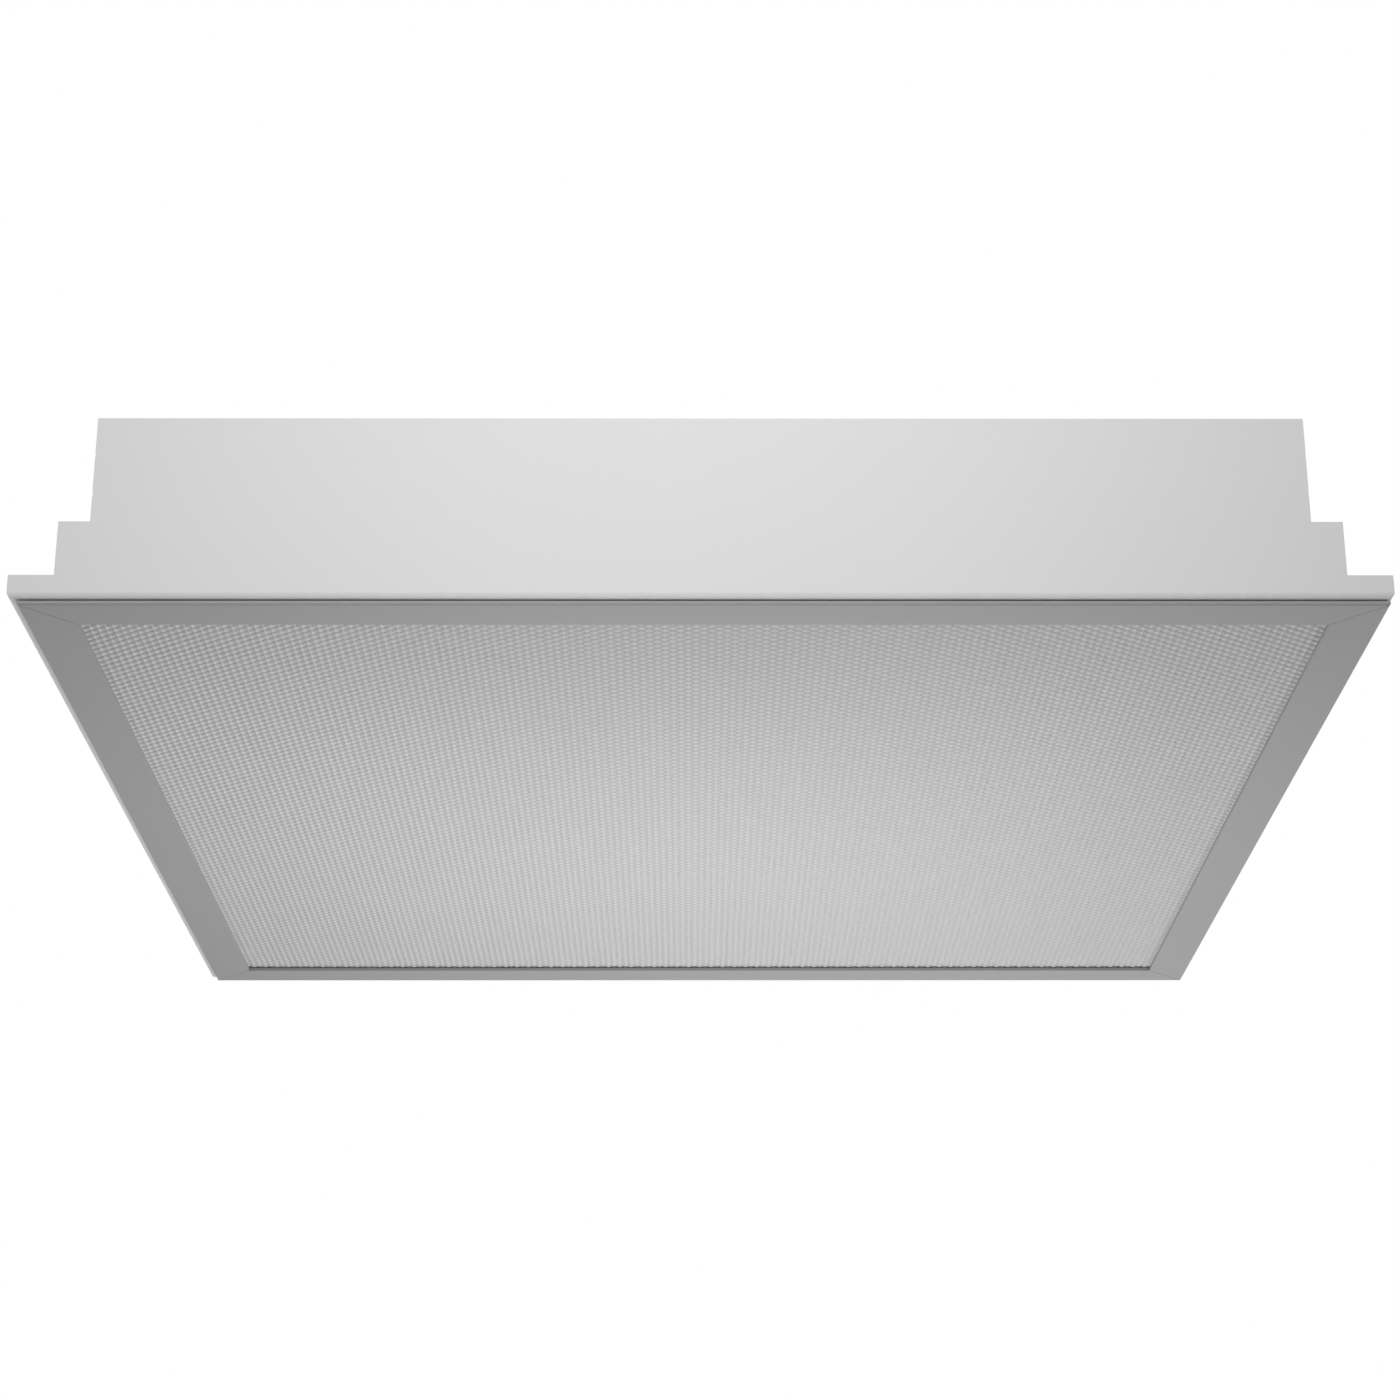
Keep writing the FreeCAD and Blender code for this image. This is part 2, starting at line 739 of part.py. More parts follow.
def ballast_board():
    """Circuit board on its supports, with the chokes and capacitors that stand on it."""
    half = ballast_width / 2 - ballast_sheet - board_inset
    end = ballast_end - terminal_depth - board_inset
    low = tray_top + ballast_sheet
    board_low = low + board_standoff
    board_high = board_low + board_thickness
    pieces = [block((-half, half), (-end, end), (board_low, board_high))]
    supports = [block((-half, half), (y - board_standoff / 2, y + board_standoff / 2), (low, board_low))
                for y in (-end + choke_spacing, end - choke_spacing)]
    board = joined(pieces + supports)
    parts = []
    size = choke_size / 2
    for y in centred(choke_count, choke_spacing):
        parts.append(block((-size, size), (y - size, y + size), (board_high, board_high + choke_height)))
    for y in centred(choke_count - 1, choke_spacing):
        start = Vector(0, y - capacitor_length / 2, board_high + capacitor_radius)
        parts.append(rod(start, start + Y_AXIS * capacitor_length, capacitor_radius))
    return Part.makeCompound([board] + parts)


def ballast_terminals():
    half = ballast_width / 2 - terminal_inset
    low = tray_top + ballast_sheet
    high = tray_top + terminal_height
    body = block((-half, half), (-ballast_end, -ballast_end + terminal_depth), (low, high))
    first = block_y - block_length / 2
    size = (first - 2 * lane_pitch - input_margin, first - lane_pitch + input_margin)
    supply = block((cover_half, cover_half + input_depth), size, (low, high))
    return Part.makeCompound(both_ends(body) + [supply])


def ballast_screws():
    size = (screw_radius, ballast_screw_length, screw_head_radius, screw_head_height)
    screws = []
    for y in (-ballast_screw_y(), ballast_screw_y()):
        screws.append(screw(Vector(0, y, tray_top + ballast_sheet), -Z_AXIS, *size))
    return Part.makeCompound(screws)


def lane_y(k):
    """How far out wire k crosses to its lamp: the outer lamps' wires cross first."""
    from_outside = min(k, lamp_count - 1 - k)
    return tab_end + lane_start + lane_pitch * from_outside


def lamp_wires():
    """Front lamp wires: out of the ballast, across to their lamps, over the bar and down to the holders."""
    wires = []
    boss_top = boss_z + boss_half_height
    for k, x in enumerate(centred(lamp_count, wire_spacing)):
        y = -lane_y(k)
        points = [Vector(x, -ballast_end, wire_z), Vector(x, y, wire_z), Vector(lamp_x[k], y, wire_z)]
        points += [Vector(lamp_x[k], -drop_y, wire_z), Vector(lamp_x[k], -drop_y, boss_top)]
        wires.append(tube_path(points, wire_radius))
    return Part.makeCompound(wires)


def wire_clips():
    """Saddles on the tray that hold the lamp wires beside the bars."""
    clips = []
    y = -bar_outer + bar_flange + wire_clip_gap
    top_z = wire_z + wire_radius + wire_clip_cover
    for x in lamp_x:
        half = wire_clip_width / 2
        body = block((x - half, x + half), (y, y + wire_clip_length), (tray_top, top_z))
        hole = rod(Vector(x, y - sheet, wire_z), Vector(x, y + wire_clip_length + sheet, wire_z),
                   wire_radius + wire_clip_play)
        clips += both_ends(body.cut(hole))
    return Part.makeCompound(clips)


def supply_terminal_block():
    half = block_width / 2
    body = block((block_x - half, block_x + half), (block_y - block_length / 2, block_y + block_length / 2),
                 (tray_top, tray_top + block_height))
    holes = []
    for x in supply_x():
        deep = block_height / 2
        place = Vector(x, block_y, tray_top + block_height)
        holes.append(rod(place - Z_AXIS * deep, place, block_screw_radius + wire_clip_play))
    return body.cut(holes)


def supply_x():
    return [block_x + x for x in centred(supply_count, supply_spacing)]


def terminal_block_screws():
    screws = []
    length = block_height / 2 - block_screw_rise
    slot_y = (block_y - block_screw_radius, block_y + block_screw_radius)
    for x in supply_x():
        place = Vector(x, block_y, tray_top + block_height - block_screw_rise)
        slot = block((x - slot_width / 2, x + slot_width / 2), slot_y, (place.z - slot_depth, place.z))
        screws.append(rod(place - Z_AXIS * length, place, block_screw_radius).cut(slot))
    return Part.makeCompound(screws)


def supply_wires():
    """Two supply wires from the terminal block to the ballast's side and one to the earth stud."""
    wires = []
    front = block_y - block_length / 2
    side = cover_half + input_depth
    for k, x in enumerate(supply_x()[:-1]):
        y = front - lane_pitch * (k + 1)
        points = [Vector(x, front, wire_z), Vector(x, y, wire_z), Vector(side, y, wire_z)]
        wires.append(tube_path(points, wire_radius))
    return Part.makeCompound(wires)


def earth_wire():
    """The earth wire, from the terminal block's rear over to the stud's washer."""
    rear = block_y + block_length / 2
    x = supply_x()[-1]
    low = tray_top + earth_washer_height + wire_radius
    out_y = rear + lane_pitch
    points = [Vector(x, rear, low), Vector(x, out_y, low), Vector(earth_x, out_y, low)]
    points.append(Vector(earth_x, block_y + earth_washer_radius, low))
    return tube_path(points, wire_radius)


def earth_terminal():
    """Stud through the tray with its washer and nut."""
    under = Vector(earth_x, block_y, tray_under)
    seat = Vector(earth_x, block_y, tray_top)
    washer_top = seat + Z_AXIS * earth_washer_height
    stud = rod(under, seat + Z_AXIS * 2 * earth_nut_height, earth_stud_radius)
    head = rod(under - Z_AXIS * earth_washer_height, under, earth_nut_radius)
    washer = rod(seat, washer_top, earth_washer_radius)
    turns = [2 * math.pi * k / earth_nut_sides for k in range(earth_nut_sides)]
    corners = [washer_top + Vector(math.cos(a), math.sin(a), 0) * earth_nut_radius for a in turns]
    nut = prism(corners, Z_AXIS * earth_nut_height)
    return joined([head, stud, washer, nut])


def cable_entry_grommet():
    entry = Vector(block_x, grommet_y, 0)
    low = ceiling - grommet_lip_height
    high = top + grommet_lip_height
    lip = grommet_hole + grommet_lip
    body = rod(entry + Z_AXIS * low, entry + Z_AXIS * high, lip)
    slot = rod(entry + Z_AXIS * ceiling, entry + Z_AXIS * top, lip + grommet_lip)
    core = rod(entry + Z_AXIS * ceiling, entry + Z_AXIS * top, grommet_hole - grommet_fit)
    bore = rod(entry + Z_AXIS * (low - sheet), entry + Z_AXIS * (high + sheet), grommet_bore)
    return joined([body.cut(slot), core]).cut(bore)


# ---- hinges
def hinge_bracket(y):
    """A foot welded under the rim ledge, with two ears that hold the pin."""
    ear_start = arm_width / 2 + arm_side_gap
    foot_half = ear_start + ear_thickness + bracket_foot
    outer_x = half_w - sheet - fold_inside - ear_rim_gap
    foot_x = return_x - bracket_inner_room
    foot_z = (ledge_under - ear_thickness, ledge_under)
    foot = block((foot_x, outer_x), (y - foot_half, y + foot_half), foot_z)
    pieces = [foot]
    for side in (-1, 1):
        low = y + side * ear_start
        far = low + side * ear_thickness
        ends = (min(low, far), max(low, far))
        plate = block((hinge_x - curl_radius, outer_x), ends, (hinge_z, ledge_under))
        nose = rod(Vector(hinge_x, ends[0], hinge_z), Vector(hinge_x, ends[1], hinge_z), curl_radius)
        pieces += [plate, nose]
    hole = rod(Vector(hinge_x, y - foot_half, hinge_z), Vector(hinge_x, y + foot_half, hinge_z),
               hinge_pin_radius + hinge_fit)
    return joined(pieces).cut(hole)


def hinge_brackets():
    return Part.makeCompound([hinge_bracket(y) for y in (-hinge_y, hinge_y)])


def hinge_pins():
    half = arm_width / 2 + arm_side_gap + ear_thickness + pin_overhang
    pins = []
    for y in (-hinge_y, hinge_y):
        head = Vector(hinge_x, y + half - pin_overhang, hinge_z)
        shank = rod(Vector(hinge_x, y - half, hinge_z), head, hinge_pin_radius)
        cap = rod(head, head + Y_AXIS * pin_head_height, pin_head_radius)
        pins.append(joined([shank, cap]))
    return Part.makeCompound(pins)


def hinge_arm(y):
    """A strap from the door's web over the return, curled round the pin."""
    ends = (y - arm_width / 2, y + arm_width / 2)
    half = arm_sheet / 2
    leg_z = (flange_thickness + shadow_gap / 2, hinge_z + half)
    leg = block((web_right, web_right + arm_sheet), ends, leg_z)
    strap = block((web_right, hinge_x), ends, (strap_under, hinge_z + half))
    near = Vector(hinge_x, ends[0], hinge_z)
    far = Vector(hinge_x, ends[1], hinge_z)
    curl = rod(near, far, curl_radius)
    holes = [rod(near, far, hinge_pin_radius + hinge_fit)]
    for way in (-rivet_pitch / 2, rivet_pitch / 2):
        place = Vector(web_right - web_thickness, y + way, arm_rivet_z())
        holes.append(rod(place, place + X_AXIS * (2 * arm_sheet + web_thickness), rivet_radius))
    return joined([leg, strap, curl]).cut(holes)


def arm_rivet_z():
    return (rim_bottom + strap_under) / 2


def hinge_arms():
    return Part.makeCompound([hinge_arm(y) for y in (-hinge_y, hinge_y)])


def arm_rivets():
    head_radius = min(rivet_head_radius, (strap_under - rim_bottom) / 2)
    size = (rivet_radius, head_radius, rivet_head_height, rivet_tail_height)
    rivets = []
    for y in (-hinge_y, hinge_y):
        for way in (-rivet_pitch / 2, rivet_pitch / 2):
            place = Vector(web_right + arm_sheet, y + way, arm_rivet_z())
            rivets.append(rivet(place, -X_AXIS, arm_sheet + web_thickness, *size))
    return Part.makeCompound(rivets)


# ---- door
def rail(half_long, half_across):
    """A door rail along X at the front: flange, web and lip, cut to a mitre at both ends."""
    edge = -half_across
    flange = block((-half_long, half_long), (edge, edge + rail_width), (0, flange_thickness))
    nosing = [e for e in flange.Edges if e.CenterOfMass.isEqual(Vector(0, edge, 0), touch)]
    flange = flange.makeFillet(rail_edge_round, nosing)
    web_y = edge + web_offset
    lip_y = edge + lip_offset
    web = block((-half_long, half_long), (web_y, web_y + web_thickness), (0, web_top))
    lip = block((-half_long, half_long), (lip_y, lip_y + lip_thickness), (0, lip_top))
    bar = joined([flange, web, lip])
    start = half_long - mitre_gap / math.sqrt(2)
    corners = [Vector(-start, edge, -sheet), Vector(start, edge, -sheet)]
    corners += [Vector(start - rail_width, edge + rail_width, -sheet)]
    corners += [Vector(-start + rail_width, edge + rail_width, -sheet)]
    return bar.common(prism(corners, Z_AXIS * (web_top + 2 * sheet)))


def web_rivet_holes(x, y_places, z):
    """Holes through the web near x for the rivets of an arm or a catch."""
    holes = []
    reach = X_AXIS * web_thickness
    for y in y_places:
        for way in (-rivet_pitch / 2, rivet_pitch / 2):
            middle = Vector(x, y + way, z)
            holes.append(rod(middle - reach, middle + reach, rivet_radius))
    return holes


def hung(shape):
    """Move a piece of the door from the middle to where the door hangs."""
    return shape.translated(Vector(door_shift, 0, 0))


def long_rail():
    return hung(rail(door_half_x, door_half_y))


def side_rail():
    """The right-hand rail before its rivet holes."""
    return rail(door_half_y, door_half_x).rotated(ORIGIN, Z_AXIS, 90)


def door_rail_right():
    holes = web_rivet_holes(web_right - web_thickness / 2, (-hinge_y, hinge_y), arm_rivet_z())
    return hung(side_rail()).cut(holes)


def door_rail_left():
    holes = web_rivet_holes(web_left + web_thickness / 2, (-catch_y, catch_y), catch_rivet_z())
    return hung(mirror_x(side_rail())).cut(holes)


def corner_keys():
    """Angles in the rails' channels that hold the mitres together."""
    near = web_offset + web_thickness + key_clearance
    far = lip_offset - key_clearance
    low = flange_thickness + key_clearance
    z = (low, low + key_height)
    arm_x = block((door_half_x - key_arm, door_half_x - near), (-door_half_y + near, -door_half_y + far), z)
    arm_y = block((door_half_x - far, door_half_x - near), (-door_half_y + near, -door_half_y + key_arm), z)
    key = joined([arm_x, arm_y])
    keys = []
    for side in both_sides(key):
        keys += both_ends(side)
    return hung(Part.makeCompound(keys))


def diffuser():
    x = door_half_x - diffuser_offset
    y = door_half_y - diffuser_offset
    return hung(block((-x, x), (-y, y), (flange_thickness, diffuser_top)))


def clip_at_front(x):
    """A clip over the front rail's lip that presses on the diffuser."""
    lip_in = -door_half_y + lip_offset
    top_low = lip_top + clip_gap
    ends = (x - clip_width / 2, x + clip_width / 2)
    outer = lip_in - clip_gap - clip_sheet
    toe = lip_in + lip_thickness + clip_overhang
    bridge = block(ends, (outer, toe), (top_low, top_low + clip_sheet))
    leg = block(ends, (outer, outer + clip_sheet), (flange_thickness + key_clearance, top_low))
    foot = block(ends, (toe - clip_sheet, toe), (diffuser_top + clip_gap, top_low))
    return joined([bridge, leg, foot])


def diffuser_clips():
    clips = []
    for x in spaced(-door_half_x / 2, door_half_x / 2, clips_per_rail):
        clips += both_ends(clip_at_front(x))
    across = door_half_x - door_half_y
    for place in spaced(-door_half_y / 2, door_half_y / 2, clips_per_rail):
        side = clip_at_front(place).rotated(ORIGIN, Z_AXIS, 90).translated(Vector(across, 0, 0))
        clips += both_sides(side)
    return hung(Part.makeCompound(clips))


# ---- door catches
def catch_rivet_z():
    return (rim_bottom + web_top) / 2 - rivet_radius


def catch_section():
    """A catch as folded strip: the riveted leg, the top bend, the nose and the lead-in."""
    low = rim_bottom + catch_gap
    high = web_top - catch_gap
    nose_z = return_top + catch_gap + catch_nose_rise
    nose_x = -return_x - catch_bite
    tail_x = -return_x + catch_tail
    back_x = web_left - 2 * catch_bend - 2 * catch_sheet
    corners = [(web_left, low), (web_left, high), (back_x, high), (nose_x, nose_z), (tail_x, rim_bottom)]
    return folded_section(corners[::-1], catch_sheet, [catch_bend / 2, catch_bend, catch_bend])


def door_catches():
    section = catch_section()
    catches = []
    for y in (-catch_y, catch_y):
        catch = along_y(section, y - catch_width / 2, y + catch_width / 2)
        catches.append(catch.cut(web_rivet_holes(web_left, (y,), catch_rivet_z())))
    return Part.makeCompound(catches)


def catch_rivets():
    size = (rivet_radius, rivet_head_radius, rivet_head_height, rivet_tail_height)
    rivets = []
    for y in (-catch_y, catch_y):
        for way in (-rivet_pitch / 2, rivet_pitch / 2):
            place = Vector(web_left + web_thickness, y + way, catch_rivet_z())
            rivets.append(rivet(place, -X_AXIS, web_thickness + catch_sheet, *size))
    return Part.makeCompound(rivets)


# ---- every sub-part, by name
def parts():
    plate = end_plate()
    bar = lampholder_bar()
    holders = lampholders()
    wires = lamp_wires()
    front_rail = long_rail()
    made = {
        "housing_shell": housing_shell(),
        "front_end_plate": plate,
        "rear_end_plate": mirror_y(plate),
        "end_plate_rivets": end_plate_rivets(),
        "reflector_tray": reflector_tray(),
        "tray_screws": tray_screws(),
        "front_lampholder_bar": bar,
        "rear_lampholder_bar": mirror_y(bar),
        "lampholder_bar_rivets": bar_rivets(),
        "front_lampholders": holders,
        "rear_lampholders": mirror_y(holders),
        "ballast_base": ballast_base(),
        "ballast_cover": ballast_cover(),
        "ballast_board": ballast_board(),
        "ballast_terminals": ballast_terminals(),
        "ballast_screws": ballast_screws(),
        "front_lamp_wires": wires,
        "rear_lamp_wires": mirror_y(wires),
        "wire_clips": wire_clips(),
        "supply_terminal_block": supply_terminal_block(),
        "terminal_block_screws": terminal_block_screws(),
        "supply_wires": supply_wires(),
        "earth_wire": earth_wire(),
        "earth_terminal": earth_terminal(),
        "cable_entry_grommet": cable_entry_grommet(),
        "hinge_brackets": hinge_brackets(),
        "hinge_pins": hinge_pins(),
        "hinge_arms": hinge_arms(),
        "hinge_arm_rivets": arm_rivets(),
        "door_rail_front": front_rail,
        "door_rail_rear": mirror_y(front_rail),
        "door_rail_left": door_rail_left(),
        "door_rail_right": door_rail_right(),
        "door_corner_keys": corner_keys(),
        "diffuser": diffuser(),
        "diffuser_clips": diffuser_clips(),
        "door_catches": door_catches(),
        "door_catch_rivets": catch_rivets(),
    }
    for number, x in enumerate(lamp_x, start=1):
        made[f"lamp_{number}_tube"] = lamp_tube(x)
        made[f"lamp_{number}_caps"] = Part.makeCompound(both_ends(lamp_cap(x)))
        made[f"lamp_{number}_pins"] = lamp_pins(x)
        made[f"lamp_{number}_rotors"] = Part.makeCompound(both_ends(lamp_rotor(x)))
    return made


def main():
    os.makedirs("parts", exist_ok=True)
    for name, shape in parts().items():
        box = shape.BoundBox
        state = "valid" if shape.isValid() else "NOT VALID"
        print(f"{name}: {len(shape.Solids)} solids, {shape.Volume:.1f} mm3, {state}, "
              f"z {box.ZMin:.2f} to {box.ZMax:.2f}")
        shape.exportStep(f"parts/{name}.step")


main()
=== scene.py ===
# %% [markdown]
# # A recessed ceiling light
# The light is a stepped white steel housing that goes up into a ceiling. A square door hangs under it on two
# hinges along its right side and holds a sheet of prismatic acrylic. Behind the door are a white reflector
# tray, four tubular lamps in their holders, and above the tray the ballast and its wires.
#
# Everything here is in metres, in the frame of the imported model, so each piece is already in its place when
# the frame has loaded. The work left for this script is the finish of every piece, the pressed prisms of the
# diffuser, and a studio with soft light and a camera below the object.

import json
import math

import bmesh
import bpy
from mathutils import Matrix, Vector


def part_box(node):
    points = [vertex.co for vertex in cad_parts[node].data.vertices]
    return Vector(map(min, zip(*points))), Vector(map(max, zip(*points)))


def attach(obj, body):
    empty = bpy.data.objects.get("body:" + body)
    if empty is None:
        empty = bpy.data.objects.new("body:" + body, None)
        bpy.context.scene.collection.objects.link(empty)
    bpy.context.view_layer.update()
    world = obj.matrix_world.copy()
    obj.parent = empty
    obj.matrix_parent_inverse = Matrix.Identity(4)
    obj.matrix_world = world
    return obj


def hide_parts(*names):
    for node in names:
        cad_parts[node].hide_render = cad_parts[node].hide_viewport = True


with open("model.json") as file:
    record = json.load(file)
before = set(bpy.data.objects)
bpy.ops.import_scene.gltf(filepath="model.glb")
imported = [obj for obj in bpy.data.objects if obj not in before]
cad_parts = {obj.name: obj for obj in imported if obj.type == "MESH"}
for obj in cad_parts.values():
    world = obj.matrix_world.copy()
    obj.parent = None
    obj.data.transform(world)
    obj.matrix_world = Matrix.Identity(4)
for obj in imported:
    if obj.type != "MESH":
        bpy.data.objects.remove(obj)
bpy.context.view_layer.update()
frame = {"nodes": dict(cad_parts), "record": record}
nodes = frame["nodes"]
print("pieces in the frame:", len(nodes))

# %% [markdown]
# ## Helpers for node trees
# Each finish is a small node tree. These helpers keep the trees short: one starts a material with its plain
# values, one adds a node with its inputs set, and one starts a group that several materials share. A number
# that is the same all over a surface is set on the shader itself, so only what varies is drawn with nodes.


# %% Node helpers
def start_material(name, colour, roughness, metallic=0.0, constants=()):
    """A material with one Principled shader, and its tree and shader to build on."""
    material = bpy.data.materials.new(name)
    material.use_nodes = True
    shader = material.node_tree.nodes["Principled BSDF"]
    shader.inputs["Base Color"].default_value = (*colour, 1.0)
    shader.inputs["Roughness"].default_value = roughness
    shader.inputs["Metallic"].default_value = metallic
    for socket, value in constants:
        shader.inputs[socket].default_value = value
    return material, material.node_tree, shader


def add_node(tree, kind, values=(), **settings):
    """A node with its settings, and with (socket, value) pairs for its inputs."""
    node = tree.nodes.new(kind)
    for name, value in settings.items():
        setattr(node, name, value)
    for socket, value in values:
        node.inputs[socket].default_value = value
    return node


def join(tree, source, output, target, socket):
    """Link one node's output to another node's input."""
    tree.links.new(source.outputs[output], target.inputs[socket])


def start_group(name, inputs, outputs):
    """A node group with (label, kind, default) inputs and (label, kind) outputs."""
    group = bpy.data.node_groups.new(name, "ShaderNodeTree")
    for label, kind, default in inputs:
        socket = group.interface.new_socket(label, in_out="INPUT", socket_type=kind)
        socket.default_value = default
    for label, kind in outputs:
        group.interface.new_socket(label, in_out="OUTPUT", socket_type=kind)
    return group, group.nodes.new("NodeGroupInput"), group.nodes.new("NodeGroupOutput")


NUMBER = "NodeSocketFloat"
COLOUR = "NodeSocketColor"
VECTOR = "NodeSocketVector"
FINISH_OUTPUTS = (("Tint", COLOUR), ("Roughness", NUMBER), ("Height", NUMBER))


def grey_from(tree, amount, output):
    """A neutral colour whose brightness is one minus an amount."""
    lighter = add_node(tree, "ShaderNodeMath", [(0, 1.0)], operation="SUBTRACT")
    join(tree, amount, output, lighter, 1)
    grey = add_node(tree, "ShaderNodeCombineColor")
    for channel in ("Red", "Green", "Blue"):
        join(tree, lighter, "Value", grey, channel)
    return grey


# %% [markdown]
# ## Powder coat
# The housing, the tray and the door are steel with white powder coat. Close up the coat has an orange-peel
# surface, with shallow waves about a millimetre wide. Its gloss drifts a little from place to place, and
# handling leaves a faint grey film. One group makes all of this, and each white has its own film and gloss.

# %% Powder coat group
PEEL_SIZE = 900.0       # waves per metre
FILM_SIZE = 7.0         # patches of film per metre


def powder_coat_group():
    """Tint is the grey film to multiply the colour by; Height is the orange peel."""
    inputs = [("Film", NUMBER, 0.03), ("Gloss Low", NUMBER, 0.3), ("Gloss High", NUMBER, 0.4)]
    group, come, go = start_group("powder_coat", inputs, FINISH_OUTPUTS)
    place = add_node(group, "ShaderNodeTexCoord")
    waves = [("Scale", PEEL_SIZE), ("Detail", 1.0), ("Roughness", 0.4)]
    peel = add_node(group, "ShaderNodeTexNoise", waves)
    patches = [("Scale", FILM_SIZE), ("Detail", 6.0), ("Roughness", 0.6)]
    film = add_node(group, "ShaderNodeTexNoise", patches)
    for texture in (peel, film):
        join(group, place, "Object", texture, "Vector")
    depth = add_node(group, "ShaderNodeMath", operation="MULTIPLY")
    join(group, film, "Fac", depth, 0)
    join(group, come, "Film", depth, 1)
    gloss = add_node(group, "ShaderNodeMix")
    join(group, film, "Fac", gloss, "Factor")
    join(group, come, "Gloss Low", gloss, "A")
    join(group, come, "Gloss High", gloss, "B")
    join(group, grey_from(group, depth, "Value"), "Color", go, "Tint")
    join(group, gloss, "Result", go, "Roughness")
    join(group, peel, "Fac", go, "Height")
    return group


powder_coat = powder_coat_group()
print("group:", powder_coat.name)

# %% [markdown]
# ## Grain
# Metal parts carry the fine streaks of rolling or drawing, and moulded parts a fine even grain. Both come
# from one noise that can be stretched along an axis, with a broad second noise that makes the gloss uneven,
# as fingers and dust do. The stretch is a vector: a small value along an axis draws the grain out along it.

# %% Grain group
BLOTCH_SIZE = 25.0      # patches of uneven gloss per metre


def grain_group():
    """Tint and Height follow the stretched grain; Roughness follows the broad blotches."""
    inputs = [("Stretch", VECTOR, (1.0, 1.0, 1.0)), ("Scale", NUMBER, 1200.0), ("Depth", NUMBER, 0.1)]
    inputs += [("Gloss Low", NUMBER, 0.3), ("Gloss High", NUMBER, 0.45)]
    group, come, go = start_group("grain", inputs, FINISH_OUTPUTS)
    place = add_node(group, "ShaderNodeTexCoord")
    drawn = add_node(group, "ShaderNodeVectorMath", operation="MULTIPLY")
    join(group, place, "Object", drawn, 0)
    join(group, come, "Stretch", drawn, 1)
    grain = add_node(group, "ShaderNodeTexNoise", [("Detail", 3.0), ("Roughness", 0.6)])
    join(group, drawn, "Vector", grain, "Vector")
    join(group, come, "Scale", grain, "Scale")
    patches = [("Scale", BLOTCH_SIZE), ("Detail", 5.0), ("Roughness", 0.6)]
    blotch = add_node(group, "ShaderNodeTexNoise", patches)
    join(group, place, "Object", blotch, "Vector")
    depth = add_node(group, "ShaderNodeMath", operation="MULTIPLY")
    join(group, grain, "Fac", depth, 0)
    join(group, come, "Depth", depth, 1)
    gloss = add_node(group, "ShaderNodeMix")
    join(group, blotch, "Fac", gloss, "Factor")
    join(group, come, "Gloss Low", gloss, "A")
    join(group, come, "Gloss High", gloss, "B")
    join(group, grey_from(group, depth, "Value"), "Color", go, "Tint")
    join(group, gloss, "Result", go, "Roughness")
    join(group, grain, "Fac", go, "Height")
    return group


grain = grain_group()
print("group:", grain.name)

# %% [markdown]
# A finish joins a group to the shader in the same way each time: the tint multiplies the colour, the
# roughness goes straight in, and the height makes a bump of a few hundredths of a millimetre. The colour may
# be one value or the output of a node, for pieces that have two colours.


# %% Join a finish to a shader
def apply_finish(tree, shader, group, values, bump_height, colour_node=None):
    """Drive a shader's colour, roughness and normal from one of the finish groups."""
    finish = add_node(tree, "ShaderNodeGroup", node_tree=group)
    for socket, value in values:
        finish.inputs[socket].default_value = value
    tinted = add_node(tree, "ShaderNodeMix", data_type="RGBA", blend_type="MULTIPLY")
    tinted.inputs["Factor"].default_value = 1.0
    tinted.inputs[6].default_value = shader.inputs["Base Color"].default_value[:]
    if colour_node:
        tree.links.new(colour_node, tinted.inputs[6])
    join(tree, finish, "Tint", tinted, 7)
    tree.links.new(tinted.outputs[2], shader.inputs["Base Color"])
    join(tree, finish, "Roughness", shader, "Roughness")
    bump = add_node(tree, "ShaderNodeBump", [("Distance", bump_height), ("Strength", 1.0)])
    join(tree, finish, "Height", bump, "Height")
    join(tree, bump, "Normal", shader, "Normal")


def coated_steel(name, colour, film, gloss, bump_height):
    """Powder-coated steel."""
    material, tree, shader = start_material(name, colour, gloss[0])
    values = [("Film", film), ("Gloss Low", gloss[0]), ("Gloss High", gloss[1])]
    apply_finish(tree, shader, powder_coat, values, bump_height)
    return material


def grained(name, colour, metallic, scale, stretch, depth, gloss, bump_height, constants=()):
    """Bare metal, or a moulded material, with its grain."""
    material, tree, shader = start_material(name, colour, gloss[0], metallic, constants)
    values = [("Stretch", stretch), ("Scale", scale), ("Depth", depth)]
    values += [("Gloss Low", gloss[0]), ("Gloss High", gloss[1])]
    apply_finish(tree, shader, grain, values, bump_height)
    return material


EVEN = (1.0, 1.0, 1.0)
ALONG_Y = (1.0, 0.03, 1.0)
materials = {
    "housing_enamel": coated_steel("housing_enamel", (0.80, 0.80, 0.80), 0.03, (0.42, 0.50), 0.00002),
    "door_enamel": coated_steel("door_enamel", (0.363, 0.363, 0.363), 0.03, (0.42, 0.50), 0.00002),
    "tray_enamel": coated_steel("tray_enamel", (0.86, 0.86, 0.86), 0.02, (0.25, 0.32), 0.00001),
}
metals = [
    ("bare_aluminium", (0.78, 0.78, 0.79), 1500.0, EVEN, 0.10, (0.28, 0.42), 0.000004),
    ("spring_steel", (0.42, 0.42, 0.43), 1400.0, (1.0, 0.05, 1.0), 0.15, (0.22, 0.36), 0.000003),
    ("brass", (0.78, 0.60, 0.30), 1500.0, EVEN, 0.12, (0.20, 0.34), 0.000003),
    ("lamp_cap", (0.80, 0.80, 0.81), 1600.0, (1.0, 0.2, 1.0), 0.12, (0.24, 0.36), 0.000004),
]
for name, colour, scale, stretch, depth, gloss, bump_height in metals:
    materials[name] = grained(name, colour, 1.0, scale, stretch, depth, gloss, bump_height)
